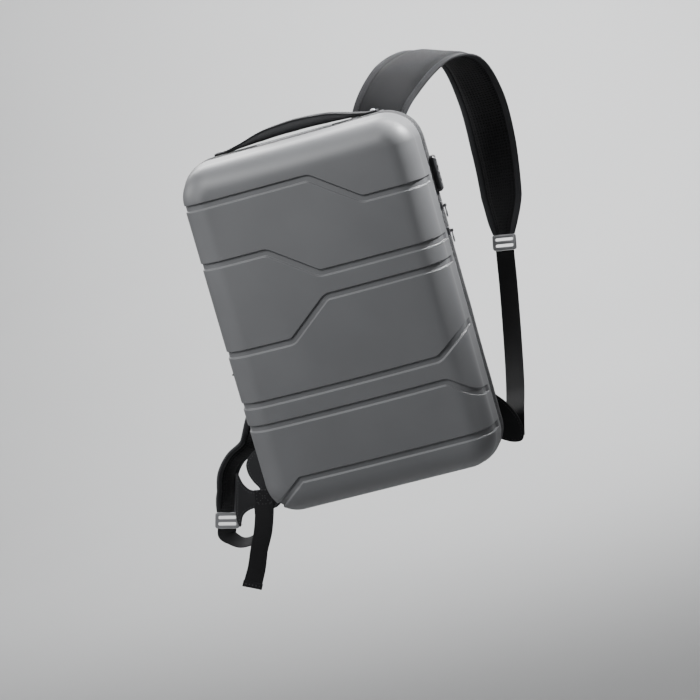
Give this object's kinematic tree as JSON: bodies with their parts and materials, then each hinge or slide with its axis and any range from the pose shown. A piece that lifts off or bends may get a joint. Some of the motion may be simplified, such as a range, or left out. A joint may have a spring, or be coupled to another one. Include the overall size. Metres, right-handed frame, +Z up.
{
  "type": "hard shell backpack",
  "caption": "Upright backpack with a grooved hard front shell, zipped soft case, side combination lock, top handle and two padded shoulder straps.",
  "frame": {"origin": "centre of the plane of the back pads, where the pack lies against the wearer's back", "axes": "+Z up along the pack, -Y out through the hard shell, +Y towards the wearer, +X right as the shell is seen"},
  "size_m": [0.5074, 0.3574, 0.6309],
  "materials": {
    "shell": "satin",
    "case_cloth": "woven",
    "strap_cloth": "woven",
    "webbing": "woven",
    "zip": "satin",
    "rim": "satin",
    "hardware": "satin",
    "lock": "satin",
    "buckle": "satin"
  },
  "bodies": {
    "root": {"front_shell": "shell", "rim_strip": "rim", "zip_tape": "zip", "zip_coil": "zip", "rear_case": "case_cloth", "back_panel": "case_cloth", "back_pad_left": "case_cloth", "back_pad_right": "case_cloth", "strap_pad_right": "strap_cloth", "strap_pad_left": "strap_cloth", "wing_left": "strap_cloth", "wing_right": "strap_cloth", "ladder_lock_right": "buckle", "ladder_lock_left": "buckle", "webbing_right": "webbing", "webbing_left_anchor": "webbing", "webbing_left_tail": "webbing", "webbing_left_hem": "webbing", "handle_base": "lock", "top_handle": "strap_cloth", "handle_rivet_left": "hardware", "handle_rivet_right": "hardware", "top_bar": "hardware", "lock_body": "lock", "zip_slider_upper": "hardware", "zip_slider_lower": "hardware", "side_tab": "webbing"},
    "dial_1": {"lock_dial_1": "hardware"},
    "dial_2": {"lock_dial_2": "hardware"},
    "dial_3": {"lock_dial_3": "hardware"},
    "pull_upper": {"zip_pull_upper": "hardware"},
    "pull_lower": {"zip_pull_lower": "hardware"}
  },
  "joints": [
    {"name": "dial_1_turn", "type": "hinge", "parent": "root", "child": "dial_1", "pos_m": [0.1589, -0.0536, 0.13], "axis": [0, 0, 1], "continuous": true},
    {"name": "dial_2_turn", "type": "hinge", "parent": "root", "child": "dial_2", "pos_m": [0.1589, -0.0536, 0.138], "axis": [0, 0, 1], "continuous": true},
    {"name": "dial_3_turn", "type": "hinge", "parent": "root", "child": "dial_3", "pos_m": [0.1589, -0.0536, 0.146], "axis": [0, 0, 1], "continuous": true},
    {"name": "pull_upper_swing", "type": "hinge", "parent": "root", "child": "pull_upper", "pos_m": [0.1601, -0.07275, 0.09798], "axis": [0, -1, 0], "range_deg": [0, 175]},
    {"name": "pull_lower_swing", "type": "hinge", "parent": "root", "child": "pull_lower", "pos_m": [0.1601, -0.07275, 0.0655], "axis": [0, -1, 0], "range_deg": [0, 175]}
  ]
}
